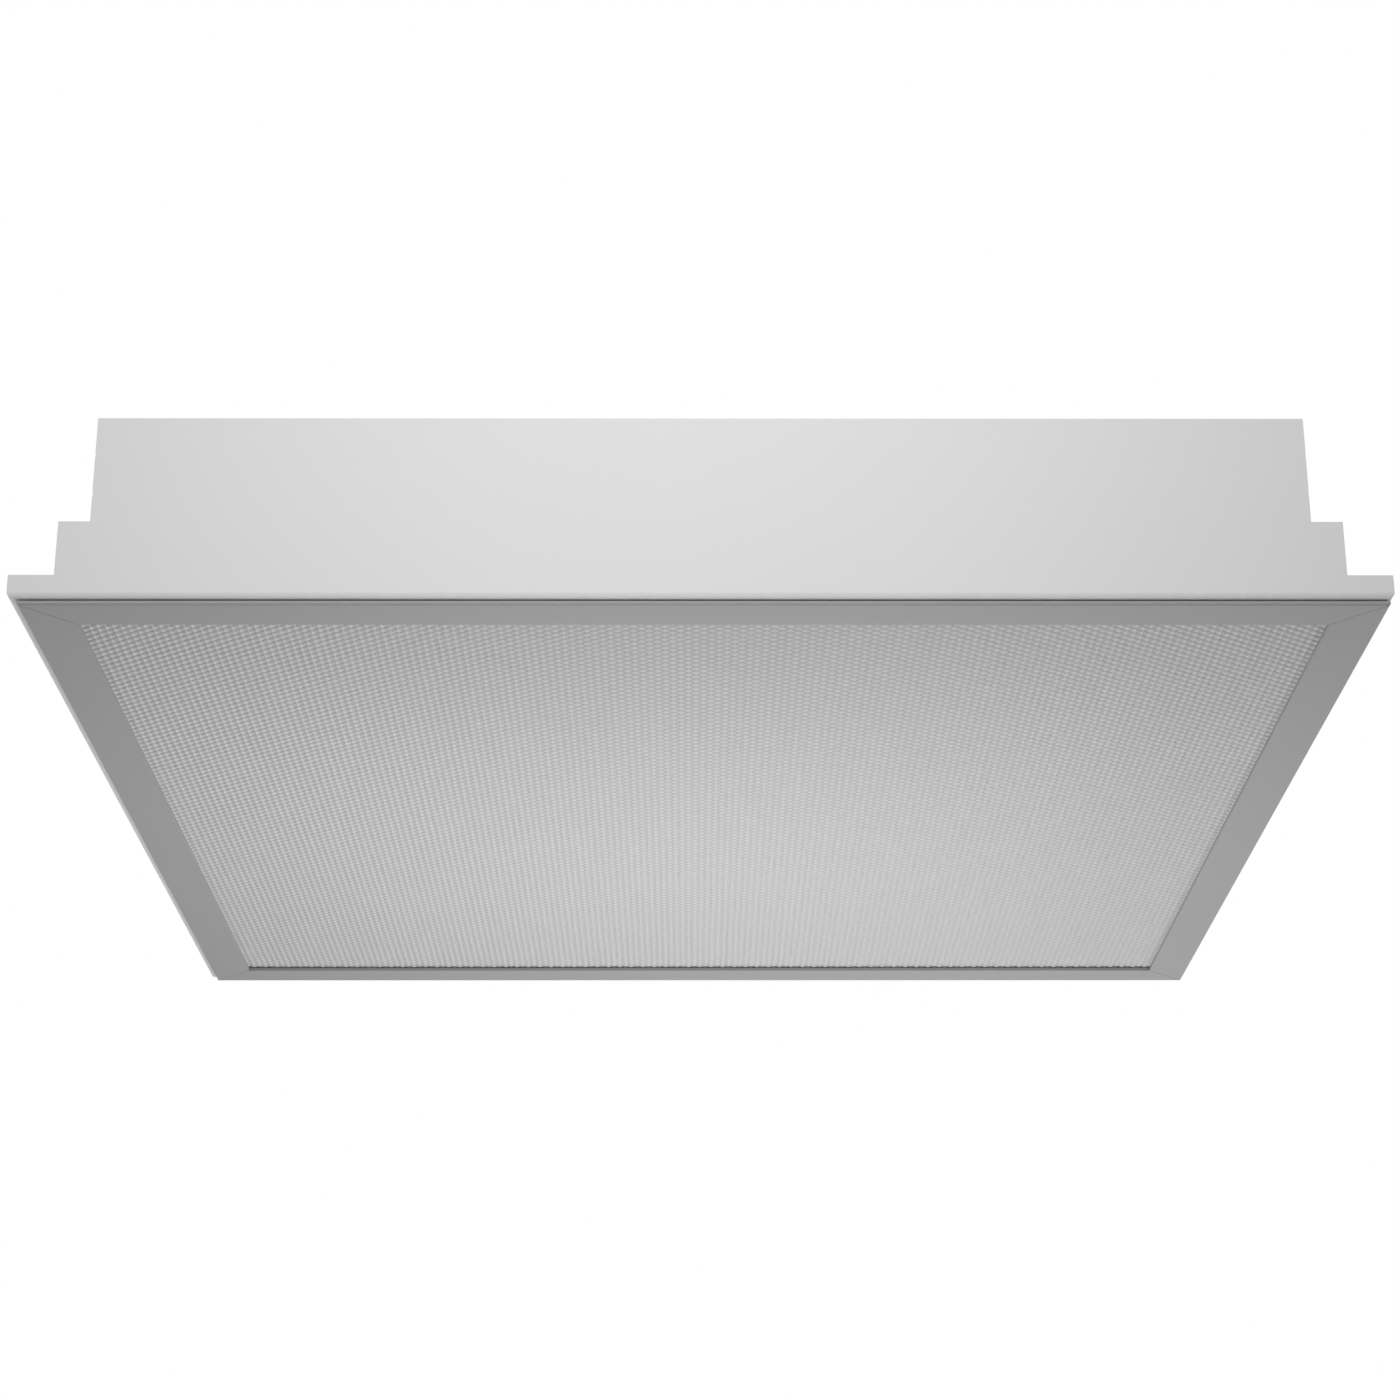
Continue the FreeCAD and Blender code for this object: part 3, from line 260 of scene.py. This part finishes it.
plastics = [
    ("white_plastic", (0.83, 0.83, 0.81), 2200.0, EVEN, 0.04, (0.30, 0.42), 0.00001),
    ("terminal_plastic", (0.62, 0.63, 0.62), 2200.0, EVEN, 0.06, (0.34, 0.46), 0.00001),
    ("clip_nylon", (0.74, 0.73, 0.68), 1800.0, EVEN, 0.06, (0.30, 0.42), 0.00001),
    ("wire_sleeve", (0.80, 0.79, 0.75), 1500.0, ALONG_Y, 0.08, (0.36, 0.48), 0.000006),
    ("rubber", (0.035, 0.035, 0.036), 1600.0, EVEN, 0.25, (0.55, 0.72), 0.00002),
]
for name, colour, scale, stretch, depth, gloss, bump_height in plastics:
    materials[name] = grained(name, colour, 0.0, scale, stretch, depth, gloss, bump_height)
print("plain finishes:", ", ".join(sorted(materials)))

# %% [markdown]
# ## Zinc plate
# Zinc-coated sheet shows its crystals as soft patches of lighter and darker grey, a few millimetres wide. A
# Voronoi texture gives each crystal its own grey, and the grain group adds the rolling marks over it.

# %% Zinc
SPANGLE_SIZE = 260.0    # crystals per metre


def zinc_steel():
    material, tree, shader = start_material("zinc_steel", (0.62, 0.63, 0.64), 0.35, 1.0)
    place = add_node(tree, "ShaderNodeTexCoord")
    crystal = add_node(tree, "ShaderNodeTexVoronoi", [("Scale", SPANGLE_SIZE)])
    join(tree, place, "Object", crystal, "Vector")
    shade = add_node(tree, "ShaderNodeSeparateColor")
    join(tree, crystal, "Color", shade, "Color")
    grey = add_node(tree, "ShaderNodeMix", data_type="RGBA")
    grey.inputs[6].default_value = (0.56, 0.57, 0.58, 1.0)
    grey.inputs[7].default_value = (0.68, 0.69, 0.70, 1.0)
    join(tree, shade, "Red", grey, 0)
    values = [("Stretch", ALONG_Y), ("Scale", 1200.0), ("Depth", 0.08)]
    values += [("Gloss Low", 0.3), ("Gloss High", 0.46)]
    apply_finish(tree, shader, grain, values, 0.000003, grey.outputs[2])
    return material


materials["zinc_steel"] = zinc_steel()
print("zinc crystals per metre:", SPANGLE_SIZE)

# %% [markdown]
# ## Pieces of two colours
# Some pieces have two colours in one mesh, so the place on the piece picks the colour. The earth wire has a
# yellow stripe along its upper side. Of the two supply wires one is brown, and the other, to its right and in
# front, is blue. The circuit board is green, with dark capacitors and amber chokes in turn along it.


# %% Pick a colour by place
def position(tree):
    """The place on the piece, split into X, Y and Z."""
    place = add_node(tree, "ShaderNodeTexCoord")
    parts = add_node(tree, "ShaderNodeSeparateXYZ")
    join(tree, place, "Object", parts, "Vector")
    return parts


def where(tree, source, output, operation, limit):
    """One where a value is greater or less than a limit, else zero."""
    test = add_node(tree, "ShaderNodeMath", [(1, limit)], operation=operation)
    join(tree, source, output, test, 0)
    return test


def pick(tree, test, otherwise, chosen):
    """A colour mix driven by a test; either colour may be another mix."""
    mix = add_node(tree, "ShaderNodeMix", data_type="RGBA")
    join(tree, test, "Value", mix, 0)
    for socket, colour in ((6, otherwise), (7, chosen)):
        if isinstance(colour, tuple):
            mix.inputs[socket].default_value = (*colour, 1.0)
        else:
            tree.links.new(colour.outputs[2], mix.inputs[socket])
    return mix


SLEEVE_FINISH = [("Stretch", ALONG_Y), ("Scale", 1500.0), ("Depth", 0.08)]
SLEEVE_FINISH += [("Gloss Low", 0.32), ("Gloss High", 0.46)]
SLEEVE_GRAIN = 0.000006
STRIPE_RISE = 0.0003    # from the earth wire's middle up to its stripe
BLUE_FROM_X = 0.1065    # the blue supply wire lies to the right of this
BLUE_TO_Y = 0.1045      # and in front of this
wire_low, wire_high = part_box("earth_wire")


def earth_wire():
    material, tree, shader = start_material("earth_wire", (0.08, 0.32, 0.08), 0.4)
    middle = (wire_low.z + wire_high.z) / 2
    upper = where(tree, position(tree), "Z", "GREATER_THAN", middle + STRIPE_RISE)
    colour = pick(tree, upper, (0.06, 0.27, 0.07), (0.78, 0.62, 0.05))
    apply_finish(tree, shader, grain, SLEEVE_FINISH, SLEEVE_GRAIN, colour.outputs[2])
    return material


def supply_wire():
    material, tree, shader = start_material("supply_wire", (0.2, 0.1, 0.05), 0.4)
    parts = position(tree)
    right = where(tree, parts, "X", "GREATER_THAN", BLUE_FROM_X)
    front = where(tree, parts, "Y", "LESS_THAN", BLUE_TO_Y)
    second = add_node(tree, "ShaderNodeMath", operation="MAXIMUM")
    join(tree, right, "Value", second, 0)
    join(tree, front, "Value", second, 1)
    colour = pick(tree, second, (0.16, 0.07, 0.03), (0.03, 0.12, 0.42))
    apply_finish(tree, shader, grain, SLEEVE_FINISH, SLEEVE_GRAIN, colour.outputs[2])
    return material


materials["earth_wire"] = earth_wire()
materials["supply_wire"] = supply_wire()
print("wires finished")

# %% [markdown]
# The parts on the board stand 60 mm apart, chokes and capacitors in turn, so a cosine along the board is
# positive at one kind and negative at the other. Below their feet everything is board.

# %% Circuit board
BOARD_TOP = 0.066       # height of the board's upper face
BOARD_SKIN = 0.0001     # what lies more than this above the board is a part
PART_PITCH = 0.060


def circuit_board():
    material, tree, shader = start_material("circuit_board", (0.05, 0.2, 0.08), 0.4)
    parts = position(tree)
    turn = add_node(tree, "ShaderNodeMath", [(1, 2 * math.pi / PART_PITCH)], operation="MULTIPLY")
    join(tree, parts, "Y", turn, 0)
    wave = add_node(tree, "ShaderNodeMath", operation="COSINE")
    join(tree, turn, "Value", wave, 0)
    capacitor = where(tree, wave, "Value", "GREATER_THAN", 0.0)
    above = where(tree, parts, "Z", "GREATER_THAN", BOARD_TOP + BOARD_SKIN)
    fitted = pick(tree, capacitor, (0.45, 0.30, 0.08), (0.02, 0.03, 0.07))
    colour = pick(tree, above, (0.04, 0.16, 0.06), fitted)
    values = [("Scale", 900.0), ("Depth", 0.25), ("Gloss Low", 0.25), ("Gloss High", 0.5)]
    apply_finish(tree, shader, grain, values, 0.00001, colour.outputs[2])
    return material


materials["circuit_board"] = circuit_board()
print("board top at", BOARD_TOP)

# %% [markdown]
# ## Lamp glass
# The lamps are off. The glass is clear with a white powder inside, so it is a smooth coat over soft white.
# The powder is thinner and greyer close to the caps.

# %% Lamp glass
tube_low, tube_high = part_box("lamp_1_tube")
GREY_BAND = 0.022       # length of the grey zone at each end
IN_CAP = 0.011          # length of the tube's end in which the grey is full


def lamp_glass():
    constants = [("Coat Weight", 1.0), ("Coat Roughness", 0.04)]
    material, tree, shader = start_material("lamp_glass", (0.86, 0.86, 0.85), 0.4, 0.0, constants)
    away = add_node(tree, "ShaderNodeMath", operation="ABSOLUTE")
    join(tree, position(tree), "Y", away, 0)
    end = tube_high.y - IN_CAP
    fade = add_node(tree, "ShaderNodeMapRange", [("From Min", end - GREY_BAND), ("From Max", end)])
    join(tree, away, "Value", fade, "Value")
    colour = add_node(tree, "ShaderNodeMix", data_type="RGBA")
    colour.inputs[6].default_value = (0.86, 0.86, 0.85, 1.0)
    colour.inputs[7].default_value = (0.46, 0.46, 0.47, 1.0)
    join(tree, fade, "Result", colour, 0)
    values = [("Scale", 500.0), ("Depth", 0.03), ("Gloss Low", 0.35), ("Gloss High", 0.5)]
    apply_finish(tree, shader, grain, values, 0.000002, colour.outputs[2])
    return material


materials["lamp_glass"] = lamp_glass()
print("lamp from", round(tube_low.y, 4), "to", round(tube_high.y, 4))

# %% [markdown]
# ## Prismatic acrylic
# The sheet is clear acrylic with a fine white haze, pressed into small prisms 1.4 mm deep. The grooves
# between
# the prisms carry painted shade: the colour falls to a grey towards their bottoms, where little light comes
# back out. It has a soft gloss, which a slow noise makes uneven, and a very fine grain from the press.

# %% Acrylic
ACRYLIC_WHITE = 0.737
# Painted shade: the grey that the colour falls to at the bottoms of the grooves.
PAINTED_GROOVE_SHADE = 0.42
GROOVE_FROM = 0.5       # share of the depth at which the colour starts to fall
GROOVE_OVER = 0.02      # share of the sheet in which it comes back above the grooves
PRISM_HEIGHT = 0.0014

sheet_low, sheet_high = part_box("diffuser")


def prismatic_acrylic():
    material, tree, shader = start_material("prismatic_acrylic", (ACRYLIC_WHITE,) * 3, 0.4)
    level = add_node(tree, "ShaderNodeMapRange", [("From Min", sheet_low.z), ("From Max", sheet_high.z)])
    join(tree, position(tree), "Z", level, "Value")
    # Painted shade in the grooves: this ramp darkens the colour from the white to the grey towards their
    # bottoms.
    fall = add_node(tree, "ShaderNodeValToRGB")
    groove = PRISM_HEIGHT / (sheet_high.z - sheet_low.z)
    stops = fall.color_ramp.elements
    stops[0].position = groove * GROOVE_FROM
    stops[1].position = groove
    stops.new(groove + GROOVE_OVER)
    for stop, white in zip(stops, (ACRYLIC_WHITE, PAINTED_GROOVE_SHADE, ACRYLIC_WHITE)):
        stop.color = (white, white, white, 1.0)
    join(tree, level, "Result", fall, "Fac")
    values = [("Scale", 700.0), ("Depth", 0.02), ("Gloss Low", 0.36), ("Gloss High", 0.48)]
    apply_finish(tree, shader, grain, values, 0.000003, fall.outputs["Color"])
    return material


materials["prismatic_acrylic"] = prismatic_acrylic()
print("acrylic white:", ACRYLIC_WHITE)

# %% [markdown]
# ## Put the finishes on the frame's pieces
# Each piece of the frame names its finish. The loop below puts that finish into every material slot of the
# piece, and counts the slots.

# %% Finishes on the frame's pieces
finished = 0
for entry in frame["record"]["subparts"]:
    for holder in nodes[entry["node"]].material_slots:
        holder.material = materials[entry["material_slot"]]
        finished += 1
print("material slots filled:", finished)

# %% [markdown]
# ## The pressed prisms
# The lower face of the sheet is pressed into rows of small four-sided prisms, each with its point down. They
# stand 6.9 mm apart across and 5 mm apart in depth, with one more in the middle of each such cell, so each
# has a diamond outline. The mesh is built row by row. Neighbouring diamonds share their corners, so the
# surface is closed.

# %% Diamonds
PRISM_ACROSS = 0.00691
PRISM_DEEP = 0.00503
FIELD_MARGIN = 2        # rows and columns beyond the sheet, to be trimmed away


def diamond_field(low, high):
    """Diamond pyramids, point down, over more than a rectangle, with shared corners."""
    mesh = bmesh.new()
    middle = (low + high) / 2
    columns = int((high.x - low.x) / PRISM_ACROSS / 2) + FIELD_MARGIN
    rows = int((high.y - low.y) / PRISM_DEEP) + FIELD_MARGIN
    corners = {}

    def at(i, j, z):
        return middle.x + i * PRISM_ACROSS / 2, middle.y + j * PRISM_DEEP / 2, z

    def corner(i, j):
        if (i, j) not in corners:
            corners[i, j] = mesh.verts.new(at(i, j, low.z + PRISM_HEIGHT))
        return corners[i, j]

    for j in range(-rows, rows + 1):
        for column in range(-columns, columns + 1):
            i = 2 * column + j % 2
            tip = mesh.verts.new(at(i, j, low.z))
            ring = [corner(i - 1, j), corner(i, j - 1), corner(i + 1, j), corner(i, j + 1)]
            for k in range(4):
                mesh.faces.new((tip, ring[(k + 1) % 4], ring[k]))
    return mesh


field = diamond_field(sheet_low, sheet_high)
print("faces before trimming:", len(field.faces))

# %% [markdown]
# The field is wider than the sheet, so four planes trim it to the sheet's outline. The trimmed edge is then
# drawn up to the sheet's upper face, which closes the solid.


# %% Trim and close
def trim_to(mesh, low, high):
    """Cut away what lies outside a rectangle in plan."""
    planes = [(low, (-1, 0, 0)), (low, (0, -1, 0)), (high, (1, 0, 0)), (high, (0, 1, 0))]
    for point, normal in planes:
        everything = mesh.verts[:] + mesh.edges[:] + mesh.faces[:]
        bmesh.ops.bisect_plane(mesh, geom=everything, plane_co=point, plane_no=normal, clear_outer=True)


def close_above(mesh, height):
    """Draw the open edge up to a height and close it there."""
    edge = [e for e in mesh.edges if e.is_boundary]
    drawn = bmesh.ops.extrude_edge_only(mesh, edges=edge)["geom"]
    for part in drawn:
        if isinstance(part, bmesh.types.BMVert):
            part.co.z = height
    bmesh.ops.holes_fill(mesh, edges=[e for e in mesh.edges if e.is_boundary], sides=0)


trim_to(field, sheet_low, sheet_high)
close_above(field, sheet_high.z)
bmesh.ops.recalc_face_normals(field, faces=field.faces[:])
print("faces after trimming:", len(field.faces))


# %% The diffuser as a piece of the door
def new_piece(mesh, name, material):
    """An object at the origin from a bmesh, with one material."""
    data = bpy.data.meshes.new(name)
    mesh.to_mesh(data)
    mesh.free()
    data.materials.append(material)
    piece = bpy.data.objects.new(name, data)
    bpy.context.scene.collection.objects.link(piece)
    return piece


diffuser = new_piece(field, "diffuser_prisms", materials["prismatic_acrylic"])
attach(diffuser, "door")
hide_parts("diffuser")
print("diffuser polygons:", len(diffuser.data.polygons))

# %% [markdown]
# ## The studio
# The light hangs in the air above a pale floor, and the camera looks up at it from in front. The world is
# white to the camera, in reflections and through glass, and much dimmer to everything else, so the background
# is clean and the white object still has shape. The floor looks paler to the camera than the light it sends
# back. Seen from underneath, the floor is clear, so a view from below it still shows the light.

# %% Floor and world
FLOOR_LEVEL = -2.3
FLOOR_HALF = 12.0
FLOOR_GREY = 0.6
FLOOR_GLOW = 0.6        # added for the camera alone
WORLD_LEVEL = 0.294

ground = bmesh.new()
bmesh.ops.create_grid(ground, x_segments=1, y_segments=1, size=FLOOR_HALF)
bmesh.ops.translate(ground, verts=ground.verts, vec=(0, 0, FLOOR_LEVEL))


def floor_paint():
    constants = [("Emission Color", (1, 1, 1, 1))]
    material, tree, shader = start_material("floor_paint", (FLOOR_GREY,) * 3, 0.8, 0.0, constants)
    path = add_node(tree, "ShaderNodeLightPath")
    glow = add_node(tree, "ShaderNodeMath", [(1, FLOOR_GLOW)], operation="MULTIPLY")
    join(tree, path, "Is Camera Ray", glow, 0)
    join(tree, glow, "Value", shader, "Emission Strength")
    shape = add_node(tree, "ShaderNodeNewGeometry")
    upper = add_node(tree, "ShaderNodeMath", [(0, 1.0)], operation="SUBTRACT")
    join(tree, shape, "Backfacing", upper, 1)
    join(tree, upper, "Value", shader, "Alpha")
    material.cycles.emission_sampling = "NONE"
    return material


floor = new_piece(ground, "floor", floor_paint())


def white_world():
    world = bpy.data.worlds.new("studio")
    bpy.context.scene.world = world
    world.use_nodes = True
    tree = world.node_tree
    shade = tree.nodes["Background"]
    shade.inputs["Color"].default_value = (1, 1, 1, 1)
    path = add_node(tree, "ShaderNodeLightPath")
    level = add_node(tree, "ShaderNodeMix", [("A", WORLD_LEVEL), ("B", 1.0)])
    level.name = "level"
    seen = path.outputs["Is Camera Ray"]
    for ray in ("Is Glossy Ray", "Is Transmission Ray"):
        both = add_node(tree, "ShaderNodeMath", operation="MAXIMUM")
        tree.links.new(seen, both.inputs[0])
        join(tree, path, ray, both, 1)
        seen = both.outputs["Value"]
    tree.links.new(seen, level.inputs["Factor"])
    join(tree, level, "Result", shade, "Strength")


white_world()
print("world level:", WORLD_LEVEL)


# %% [markdown]
# The light is soft. Area lamps in front of the housing, under the door and low behind it give the walls and
# the door their slow fall from the middle to the ends. They make no highlights, so none of them shows as a
# patch on the prisms. Four more, above, behind and beside the housing, light the sides that the camera
# doesn't see.


# %% Studio lamps
def soft_light(name, place, aim, size, power):
    """A square area lamp that points at a spot and that the camera doesn't see."""
    data = bpy.data.lights.new(name, "AREA")
    data.size = size
    data.energy = power
    lamp = bpy.data.objects.new(name, data)
    lamp.location = place
    lamp.rotation_euler = (Vector(aim) - Vector(place)).to_track_quat("-Z", "Y").to_euler()
    lamp.visible_camera = False
    bpy.context.scene.collection.objects.link(lamp)
    return lamp


LAMPS = [
    ("under_near_close", (0.0, -0.3, -0.42), (0.0, -0.09, 0.0), 0.35, 0.220),
    ("under_inner_close", (0.0, -0.1, -0.42), (0.0, -0.03, 0.0), 0.35, 0.716),
    ("under_middle_close", (0.0, 0.1, -0.42), (0.0, 0.03, 0.0), 0.35, 0.479),
    ("under_right_far", (0.35, 0.4, -0.6), (0.1, 0.12, 0.0), 0.4, 0.972),
    ("back_left", (-0.9, 1.2, -0.5), (-0.27, 0.1, 0.0), 0.5, 2.970),
    ("back_right", (0.9, 1.2, -0.5), (0.27, 0.1, 0.0), 0.5, 7.970),
    ("front_middle_close", (0.0, -0.85, 0.2), (0.0, -0.3, 0.06), 0.3, 2.053),
    ("front_left_close", (-0.3, -0.9, 0.2), (-0.15, -0.3, 0.06), 0.3, 0.337),
    ("back_middle", (0.0, 1.6, -0.45), (0.0, 0.1, 0.0), 0.8, 4.0),
]
ROUND_LAMPS = [
    ("above", (0, 0.35, 1.4), (0, 0.05, 0.09), 1.0, 9.0),
    ("behind", (0, 1.7, 0.6), (0, 0.3, 0.05), 0.8, 7.0),
    ("beside_left", (-1.6, 0.1, 0.55), (-0.3, 0.1, 0.05), 0.7, 7.0),
    ("beside_right", (1.6, 0.1, 0.55), (0.3, 0.1, 0.05), 0.7, 7.0),
]
for lamp in LAMPS:
    soft_light(*lamp).visible_glossy = False
for lamp in ROUND_LAMPS:
    soft_light(*lamp)
print("studio lamps:", len(LAMPS + ROUND_LAMPS))

# %% [markdown]
# ## Camera
# The camera's place comes from the photograph's perspective: the long edges of the steps, the rim and the
# door's corners fix it. It stands in front of the light and below it, with a long lens, tilted up by 21
# degrees.

# %% Camera
LENS = 77.03
SENSOR = 36.0
CAMERA_PLACE = Vector((-0.00551, -1.47805, -0.50154))
TILT = math.radians(21.149)
YAW = math.radians(-0.24)
ROLL = math.radians(-0.076)


def photo_camera():
    ahead = Vector((-math.sin(YAW), math.cos(YAW), 0))
    right = Vector((math.cos(YAW), math.sin(YAW), 0))
    look = ahead * math.cos(TILT) + Vector((0, 0, math.sin(TILT)))
    up = Vector((0, 0, math.cos(TILT))) - ahead * math.sin(TILT)
    across = right * math.cos(ROLL) + up * math.sin(ROLL)
    upward = up * math.cos(ROLL) - right * math.sin(ROLL)
    data = bpy.data.cameras.new("camera")
    data.lens = LENS
    data.sensor_width = SENSOR
    camera = bpy.data.objects.new("camera", data)
    turn = Matrix((across, upward, -look)).transposed().to_4x4()
    camera.matrix_world = Matrix.Translation(CAMERA_PLACE) @ turn
    bpy.context.scene.collection.objects.link(camera)
    bpy.context.scene.camera = camera


photo_camera()
bpy.context.scene.view_settings.view_transform = "Standard"
print("camera at", tuple(round(c, 3) for c in CAMERA_PLACE))
